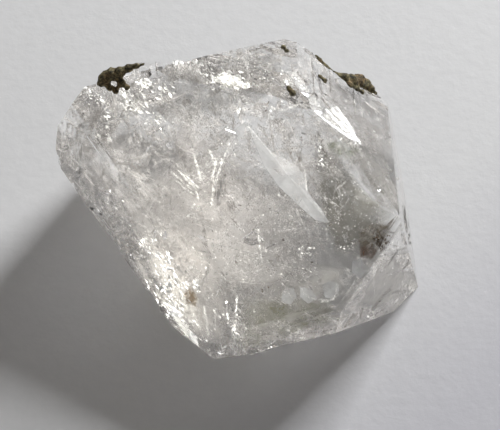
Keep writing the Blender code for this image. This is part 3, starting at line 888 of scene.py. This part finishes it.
class HERKIMER_OT_flecks(Operator):
    """Adds bright white flecks in clusters and strands"""

    bl_idname = "herkimer.flecks"
    bl_label = "White flecks"

    def execute(self, context):
        heap = Heap(3)
        for cluster in FLECKS:
            self.add_cluster(heap, *cluster)
        for strand in STRANDS:
            self.add_strand(heap, *strand)
        material = facet_material()
        for number, mesh in enumerate(heap.meshes(thickness=0.08), 1):
            new_piece(f"white_flecks_{number}", *mesh, material, "clear_quartz")
        return {"FINISHED"}

    def add_cluster(self, heap, middle, spread, count, depths, sizes, lean):
        """Adds flecks that crowd round a middle, few of them long."""
        crowding, lean_spread, tilt, slimness = 0.7, 28, 0.32, (0.25, 0.7)
        longest, rareness = 1.3, 1.6
        rng = heap.rng
        spots = rng.normal(size=(count, 2)) * spread * crowding + middle
        placed = [place_fleck(*spot, rng.uniform(*depths)) for spot in spots]
        points, normals = (np.array(column) for column in zip(*placed))
        along = np.array([lean_in_view(angle) for angle in rng.normal(lean, lean_spread, count)])
        lengths = sizes[0] + (longest * sizes[1] - sizes[0]) * rng.uniform(size=count) ** rareness
        heap.add(points, normals + rng.normal(size=(count, 3)) * tilt, along,
                 lengths, lengths * rng.uniform(*slimness, count))

    def add_strand(self, heap, start, end, depths, count, half_width, size):
        """Adds slim flecks that follow a line from start to end."""
        crowding, lean_spread, tilt, slimness = 0.6, 10, 0.22, (0.1, 0.24)
        stretches, margin = (0.5, 1.3), 0.015
        rng = heap.rng
        share = rng.uniform(size=count)
        spots = np.outer(1 - share, start) + np.outer(share, end)
        spots = spots + rng.normal(size=(count, 2)) * half_width * crowding
        sunk = depths[0] * (1 - share) + depths[1] * share
        placed = [place_fleck(*spot, depth) for spot, depth in zip(spots, sunk)]
        points, normals = (np.array(column) for column in zip(*placed))
        lean = math.degrees(math.atan2(start[1] - end[1], end[0] - start[0]))
        along = np.array([lean_in_view(angle) for angle in rng.normal(lean, lean_spread, count)])
        lengths = size * rng.uniform(*stretches, count)
        heap.add(points, normals + rng.normal(size=(count, 3)) * tilt, along,
                 lengths, lengths * rng.uniform(*slimness, count), margin)


PANE_THICKNESS = 0.006
CLOUD_RINGS = 5  # rings of points round a cloud's middle, which its fading rim follows


def pane(corners, rings=1):
    """A thin closed sheet through corners given as (x, y, depth), in the view's pixels and mm."""
    rim = np.array([behind(*corner) for corner in corners])
    middle = rim.mean(axis=0)
    following = np.roll(rim, -1, axis=0)
    normal = unit(np.cross(rim - middle, following - middle).sum(axis=0))
    count = len(rim)
    shares = [number / rings for number in range(1, rings + 1)]
    sheet = np.concatenate([middle[None]] + [middle + (rim - middle) * share for share in shares])
    lift = normal * PANE_THICKNESS / 2
    points = np.concatenate([sheet + lift, sheet - lift])
    under = len(sheet)
    ring = np.arange(1, under).reshape(rings, count)
    near = ring[0]
    top = [np.stack([np.zeros(count, int), near, np.roll(near, -1)], 1)]
    for near, far in zip(ring[:-1], ring[1:]):
        top.append(np.stack([near, far, np.roll(far, -1)], 1))
        top.append(np.stack([near, np.roll(far, -1), np.roll(near, -1)], 1))
    top = np.concatenate(top)
    edge, after = ring[-1], np.roll(ring[-1], -1)
    walls = [np.stack([edge, edge + under, after + under], 1), np.stack([edge, after + under, after], 1)]
    return points, np.concatenate([top, top[:, ::-1] + under, *walls])


def fade_rim(piece, corners, plateau):
    """Stores how near each point of a cloud is to its middle, for materials that fade out."""
    share = np.repeat(np.arange(1, CLOUD_RINGS + 1) / CLOUD_RINGS, len(corners))
    share = np.concatenate([[0.0], share])
    fade = piece.data.attributes.new("fade", "FLOAT", "POINT")
    fade.data.foreach_set("value", np.tile(1 - share**plateau, 2).astype(np.float32))


# Pale panes of broken surface inside: outlines as (x, y) in the view's pixels with a depth in mm.
PANES = (
    ((247, 124, 0.40), (262, 142, 0.75), (273, 154, 0.90), (287, 160, 1.05), (299, 167, 1.15),
     (305, 180, 1.10), (309, 194, 0.95), (322, 210, 0.75), (329, 223, 0.55), (315, 220, 0.35),
     (298, 205, 0.25), (278, 186, 0.22), (264, 166, 0.22), (254, 142, 0.28)),
    ((322, 285, 0.60), (330, 281, 0.70), (338, 283, 0.75), (339, 291, 0.45), (333, 299, 0.20),
     (325, 298, 0.20)),
    ((283, 291, 0.50), (293, 288, 0.65), (297, 297, 0.45), (290, 305, 0.20), (281, 301, 0.20)),
    ((300, 287, 0.55), (311, 289, 0.60), (317, 298, 0.35), (308, 304, 0.15), (300, 297, 0.25)),
    ((236, 128, 0.50), (246, 121, 0.70), (244, 134, 0.45), (238, 141, 0.25)),
    ((352, 262, 0.30), (361, 258, 0.40), (369, 270, 0.35), (360, 279, 0.12), (352, 272, 0.15)),
)

# Painted reflection: pale films just under the chipped faces that make the chips look bright as though
# they threw back the window, given in the same way.
CHIPS = (
    ((321, 117, 0.06), (330, 108, 0.25), (337, 106, 0.35), (346, 117, 0.35), (355, 131, 0.25),
     (362, 144.5, 0.04), (349, 138, 0.04), (335, 129, 0.04)),
    ((308, 99, 0.05), (313, 96, 0.15), (320, 103, 0.25), (323, 112, 0.18), (318, 117, 0.05),
     (310, 107, 0.04)),
    ((291, 72, 0.05), (296, 71, 0.14), (303, 79, 0.25), (310, 92, 0.16), (306, 93, 0.06),
     (297, 86, 0.04)),
)


class HERKIMER_OT_panes(Operator):
    """Adds pale panes where a crack runs flat below the surface"""

    bl_idname = "herkimer.panes"
    bl_label = "Pale panes"

    def execute(self, context):
        pale = film_material("pale_pane", (0.90, 0.91, 0.93), least=0.34, most=0.48, wave=2500, glow=0.45)
        new_piece("pale_panes", *join([pane(outline) for outline in PANES]), pale, "clear_quartz")
        # Painted reflection: pale films under the chips make them look bright as though they threw back
        # the window.
        gleam = film_material("gleam", (0.93, 0.93, 0.92), least=0.12, most=0.6, wave=7000, glow=0.3)
        new_piece("chip_gleam", *join([pane(outline) for outline in CHIPS]), gleam, "clear_quartz")
        return {"FINISHED"}


# Clouds: name, colour, least and most cover, waves to the metre, how much light shines through,
# how far the cover stays even towards the rim, and the outline in the view's pixels with depths
# in millimetres.
CLOUDS = (
    ("milky_middle", (0.94, 0.915, 0.90), 0.45, 0.85, 700, 0.25, 4,
     ((112, 190, 1.6), (150, 168, 2.6), (190, 160, 3.1), (240, 172, 3.2), (290, 200, 3.0),
      (325, 236, 2.5), (322, 272, 1.5), (280, 290, 0.9), (240, 292, 0.6), (205, 288, 0.4),
      (165, 262, 0.5), (130, 230, 0.8))),
    ("milky_corner", (0.96, 0.935, 0.915), 0.5, 0.95, 2200, 0.85, 4,
     ((138, 234, 0.8), (165, 222, 0.8), (196, 240, 0.8), (222, 276, 0.9), (232, 308, 0.8),
      (226, 342, 0.4), (206, 346, 0.35), (180, 326, 0.7), (160, 298, 0.8), (146, 268, 0.8))),
    ("milky_glow", (0.97, 0.955, 0.93), 0.05, 0.7, 5500, 0.9, 3,
     ((144, 256, 0.12), (158, 250, 0.15), (176, 262, 0.15), (194, 288, 0.15), (206, 314, 0.12),
      (208, 344, 0.12), (194, 331, 0.12), (170, 301, 0.12), (154, 274, 0.12))),
    ("milky_low", (0.94, 0.92, 0.89), 0.35, 0.75, 1100, 0.3, 3,
     ((236, 300, 1.3), (262, 276, 2.0), (310, 262, 2.4), (346, 268, 2.0), (352, 292, 1.2), (330, 314, 0.5),
      (280, 332, 0.2), (244, 344, 0.2))),
    ("brown_cloud", (0.40, 0.34, 0.26), 0.15, 0.65, 6000, 0.5, 8,
     ((357, 233, 0.25), (366, 225, 0.3), (379, 223, 0.3), (393, 226, 0.25), (398, 214, 0.15),
      (385, 240, 0.15), (372, 260, 0.12), (359, 258, 0.2))),
    ("rusty_cloud", (0.33, 0.18, 0.11), 0.15, 0.75, 6000, 0.5, 4,
     ((359, 246, 0.15), (374, 246, 0.12), (378, 252, 0.1), (371, 260, 0.08), (360, 258, 0.12))),
    ("rusty_spot", (0.45, 0.34, 0.21), 0.4, 0.9, 7000, 0.4, 2,
     ((182, 292, 0.05), (190, 286, 0.06), (198, 297, 0.06), (196, 308, 0.05), (185, 305, 0.05))),
    ("milky_feather", (0.95, 0.94, 0.92), 0.1, 0.6, 4500, 0.2, 3,
     ((213, 214, 0.5), (194, 200, 0.7), (168, 184, 0.9), (174, 160, 1.3), (200, 148, 1.5),
      (226, 142, 1.5), (242, 150, 1.3), (230, 176, 1.0), (219, 196, 0.7))),
    ("milky_facet", (0.90, 0.88, 0.85), 0.3, 0.55, 2000, 0.45, 5,
     ((377, 266, 0.35), (399, 246, 0.40), (411, 280, 0.35), (400, 301, 0.20), (376, 311, 0.12),
      (355, 309, 0.12), (364, 286, 0.20))),
    # The next five grey clouds are painted shade: grey sheets that darken the crystal's left end, its top,
    # and its right side and edge.
    ("smoky_edge", (0.47, 0.45, 0.43), 0.35, 0.7, 3000, 0.4, 6,
     ((348, 156, 0.15), (366, 150, 0.15), (390, 172, 0.15), (399, 196, 0.12), (398, 216, 0.12),
      (382, 206, 0.2), (360, 182, 0.2))),
    ("smoky_end", (0.46, 0.44, 0.42), 0.1, 0.5, 2000, 0.4, 4,
     ((68, 150, 0.4), (78, 118, 0.4), (98, 100, 0.5), (114, 120, 0.6), (112, 160, 0.6), (118, 200, 0.5),
      (98, 190, 0.4), (78, 168, 0.4))),
    ("smoky_side", (0.37, 0.35, 0.335), 0.35, 0.7, 2500, 0.4, 5,
     ((318, 66, 0.5), (345, 84, 0.5), (382, 100, 0.5), (393, 130, 0.5), (397, 158, 0.5), (384, 170, 0.6),
      (364, 150, 0.7), (345, 118, 0.7), (325, 92, 0.6))),
    ("smoky_top", (0.50, 0.49, 0.47), 0.15, 0.45, 1800, 0.4, 6,
     ((108, 112, 0.5), (126, 82, 0.6), (160, 70, 0.7), (220, 62, 0.7), (284, 52, 0.5), (298, 88, 0.6),
      (240, 108, 0.8), (170, 120, 0.8))),
    ("smoky_cloud", (0.41, 0.395, 0.355), 0.5, 0.85, 2600, 0.3, 5,
     ((316, 125, 2.0), (345, 128, 2.1), (368, 140, 2.1), (388, 180, 1.6), (396, 215, 1.0),
      (372, 262, 0.5), (335, 256, 0.5), (322, 216, 1.0), (312, 170, 1.5))),
    ("green_cloud", (0.55, 0.55, 0.38), 0.1, 0.5, 1500, 0.4, 3,
     ((236, 350, 0.3), (240, 300, 0.5), (290, 296, 0.7), (330, 302, 0.6), (352, 316, 0.3),
      (300, 334, 0.25))),
    ("green_tint", (0.34, 0.42, 0.22), 0.1, 0.6, 2500, 0.4, 3,
     ((324, 142, 0.3), (342, 140, 0.3), (360, 150, 0.3), (352, 160, 0.4), (332, 158, 0.4))),
)

# Black specks of a few grains each, in the view's pixels.
SPECKS = ((150, 92), (149, 94), (301, 138), (315, 137), (302, 139), (291, 153), (299, 158), (300, 160),
          (334, 163), (268, 102), (266, 110), (291, 150), (322, 141), (268, 287), (262, 291),
          (225, 175), (240, 205), (283, 240), (330, 225), (205, 246), (236, 262), (312, 262))
SPECK_GRAINS = 5
SPECK_SPREAD = 0.7
SPECK_DEPTHS = (0.05, 0.3)
SPECK_LENGTHS = (0.03, 0.08)
SPECK_WIDTHS = (0.02, 0.05)

# Patches of dark grains: middle and spread in the view's pixels, how many, and their depths,
# lengths and widths in millimetres.
DARK_PATCHES = (
    ((381, 241), (5, 6), 50, (0.1, 0.5), (0.05, 0.2), (0.03, 0.1)),
    ((190, 296), (2.5, 3), 16, (0.1, 0.4), (0.05, 0.14), (0.03, 0.08)),
)


class HERKIMER_OT_stains(Operator):
    """Adds the milky, brown and greenish clouds, the grey clouds of painted shade, and the dark specks"""

    bl_idname = "herkimer.stains"
    bl_label = "Clouds and specks"

    def execute(self, context):
        for name, color, least, most, wave, glow, plateau, outline in CLOUDS:
            material = film_material(name, color, least, most, wave, glow, fades=True)
            mesh = pane(outline, CLOUD_RINGS)
            piece = new_piece(name, *mesh, material, "clear_quartz", smooth=True)
            fade_rim(piece, outline, plateau)
        heap = Heap(9)
        rng = heap.rng
        spots = np.repeat(SPECKS, SPECK_GRAINS, axis=0)
        spots = spots + rng.normal(size=spots.shape) * SPECK_SPREAD
        points = np.array([behind(*spot, rng.uniform(*SPECK_DEPTHS)) for spot in spots])
        self.add_grains(heap, points, SPECK_LENGTHS, SPECK_WIDTHS)
        for middle, spread, count, depths, lengths, widths in DARK_PATCHES:
            points = np.array([behind(*rng.normal(middle, spread), rng.uniform(*depths))
                               for _ in range(count)])
            self.add_grains(heap, points, lengths, widths)
        for mesh in heap.meshes(thickness=0.5):
            new_piece("dark_specks", *mesh, stain_material(), "host_rock")
        return {"FINISHED"}

    def add_grains(self, heap, points, lengths, widths):
        """Adds dark grains that lie any way."""
        rng, count = heap.rng, len(points)
        heap.add(points, rng.normal(size=(count, 3)), rng.normal(size=(count, 3)),
                 rng.uniform(*lengths, count), rng.uniform(*widths, count))


class HERKIMER_OT_rock(Operator):
    """Gives the host rock its crumbly finish"""

    bl_idname = "herkimer.rock"
    bl_label = "Host rock"

    def execute(self, context):
        material = rock_material(context.scene.herkimer)
        for name, node in frame["nodes"].items():
            if name != "quartz_crystal":
                node.data.materials.clear()
                node.data.materials.append(material)
        return {"FINISHED"}


# How the names start of pieces inside the crystal: those that don't shade the others, and all of them.
CLEAR = ("veil_flakes", "white_flecks", "milky", "pale_panes", "open_cracks", "chip_gleam")
INSIDE = (*CLEAR, "brown", "rusty", "smoky", "green", "dark_specks")

ROOM_COLOR = (1, 0.965, 0.94, 1)
WINDOW_COLOR = (0.975, 0.985, 1)
PAPER_REACH = 0.3  # metres from its middle to its edge
PAPER_DROP = 0.01 * MM
FIBRE_SHADE = 0.965  # tone between the paper's fibres, against the paper's own
PAINTED_PAPER_SHADE = (0.82, 0.815, 0.86, 1)  # painted shade: the darker, bluer tone of the paper on the side to the lower right of the view
PAINTED_PAPER_SHADE_FROM, PAINTED_PAPER_SHADE_TO = 5 * MM, 14 * MM
SENSOR_WIDTH = 36  # millimetres


class HERKIMER_OT_stage(Operator):
    """Sets out the paper, the camera, the window and the room light"""

    bl_idname = "herkimer.stage"
    bl_label = "Stage"

    def execute(self, context):
        settings = context.scene.herkimer
        scene = context.scene
        self.add_paper(settings)
        self.add_camera(scene)
        self.add_window("window", settings.window_power)
        inside = self.add_window("window_inside", settings.inside_power)
        glass = frame["nodes"]["quartz_crystal"]
        pieces = [piece for piece in scene.objects if piece.name.startswith(INSIDE)]
        clear = [piece for piece in pieces if piece.name.startswith(CLEAR)]
        inside.light_linking.receiver_collection = self.group("lit_inside", pieces, "INCLUDE")
        inside.light_linking.blocker_collection = self.group("lets_light_in", [glass, *clear], "EXCLUDE")
        world = bpy.data.worlds.new("room")
        world.use_nodes = True
        background = world.node_tree.nodes["Background"]
        background.inputs["Color"].default_value = ROOM_COLOR
        background.inputs["Strength"].default_value = settings.fill
        scene.world = world
        scene.view_settings.view_transform = "Standard"
        scene.cycles.transparent_max_bounces = 48
        scene.cycles.transmission_bounces = 20
        scene.cycles.max_bounces = 24
        return {"FINISHED"}

    def group(self, name, members, state):
        """A collection for light linking, with every member in one state."""
        made = bpy.data.collections.new(name)
        for member in members:
            made.objects.link(member)
        for link in made.collection_objects:
            link.light_linking.link_state = state
        return made

    def add_paper(self, settings):
        """The floor: pale paper with faint fibres, and painted shade that makes it a little darker and
        bluer to the lower right of the view.
        """
        bm = bmesh.new()
        bmesh.ops.create_grid(bm, x_segments=8, y_segments=8, size=PAPER_REACH)
        mesh = bpy.data.meshes.new("paper")
        bm.to_mesh(mesh)
        bm.free()
        paper = bpy.data.objects.new("paper", mesh)
        paper.location.z = -PAPER_DROP
        bpy.context.scene.collection.objects.link(paper)
        material, nodes, links, shader = new_material("paper")
        pale = tuple(settings.paper_color)
        dull = tuple(FIBRE_SHADE * part for part in pale)
        fibres = add_noise(nodes, links, scale=2200, detail=5, roughness=0.6)
        tones = add_ramp(nodes, links, fibres, ((0.3, dull), (0.7, pale)))
        place = nodes.new("ShaderNodeTexCoord")
        parts = nodes.new("ShaderNodeSeparateXYZ")
        links.new(place.outputs["Object"], parts.inputs["Vector"])
        # Painted shade: the paper's colour is multiplied towards a darker, bluer tone from 5 to 14 mm
        # along X minus Y, to the lower right of the view, away from the window.
        slant = add_math(nodes, links, "SUBTRACT", parts.outputs["X"], parts.outputs["Y"])
        far = add_range(nodes, links, slant, PAINTED_PAPER_SHADE_FROM, PAINTED_PAPER_SHADE_TO, least=0.0, most=1.0)
        mix = add_multiply(nodes, links, tones)
        links.new(far, mix.inputs["Factor"])
        mix.inputs["B"].default_value = PAINTED_PAPER_SHADE
        links.new(mix.outputs["Result"], shader.inputs["Base Color"])
        shader.inputs["Roughness"].default_value = 0.9
        add_bump(nodes, links, shader, fibres, distance=0.03 * MM, strength=0.5)
        mesh.materials.append(material)

    def add_camera(self, scene):
        """The camera, which looks down on the crystal from the front."""
        camera = bpy.data.cameras.new("camera")
        camera.sensor_width = SENSOR_WIDTH
        camera.lens = FOCAL_PIXELS / VIEW_SIZE[0] * SENSOR_WIDTH
        camera.clip_start = 0.001
        camera.clip_end = 10
        stand = bpy.data.objects.new("camera", camera)
        stand.location = Vector(CAMERA_PLACE * MM)
        stand.rotation_euler = (math.radians(CAMERA_TILT), 0, 0)
        scene.collection.objects.link(stand)
        scene.camera = stand

    def add_window(self, name, power):
        """One lamp of the window's size, at the window's place."""
        light = bpy.data.lights.new(name, "AREA")
        light.shape = "RECTANGLE"
        light.size, light.size_y = KEY_SIZE
        light.energy = power
        light.color = WINDOW_COLOR
        lamp = bpy.data.objects.new(name, light)
        away = Vector(to_key())
        lamp.location = away * KEY_AWAY
        lamp.rotation_euler = away.to_track_quat("Z", "Y").to_euler()
        bpy.context.scene.collection.objects.link(lamp)
        return lamp


class HERKIMER_PT_panel(Panel):
    bl_label = "Herkimer diamond"
    bl_idname = "HERKIMER_PT_panel"
    bl_space_type = "VIEW_3D"
    bl_region_type = "UI"
    bl_category = "Herkimer"

    def draw(self, context):
        settings = context.scene.herkimer
        for name in HerkimerSettings.__annotations__:
            self.layout.prop(settings, name)
        for operator in OPERATORS:
            self.layout.operator(operator.bl_idname)


OPERATORS = (
    HERKIMER_OT_glass,
    HERKIMER_OT_films,
    HERKIMER_OT_veils,
    HERKIMER_OT_cracks,
    HERKIMER_OT_flecks,
    HERKIMER_OT_panes,
    HERKIMER_OT_stains,
    HERKIMER_OT_rock,
    HERKIMER_OT_stage,
)
CLASSES = (HerkimerSettings, *OPERATORS, HERKIMER_PT_panel)


def register():
    for cls in CLASSES:
        bpy.utils.register_class(cls)
    bpy.types.Scene.herkimer = PointerProperty(type=HerkimerSettings)


def unregister():
    del bpy.types.Scene.herkimer
    for cls in reversed(CLASSES):
        bpy.utils.unregister_class(cls)


def main():
    register()
    bpy.ops.herkimer.glass()
    bpy.ops.herkimer.films()
    bpy.ops.herkimer.veils()
    bpy.ops.herkimer.cracks()
    bpy.ops.herkimer.flecks()
    bpy.ops.herkimer.panes()
    bpy.ops.herkimer.stains()
    bpy.ops.herkimer.rock()
    bpy.ops.herkimer.stage()


if __name__ == "__main__":
    main()
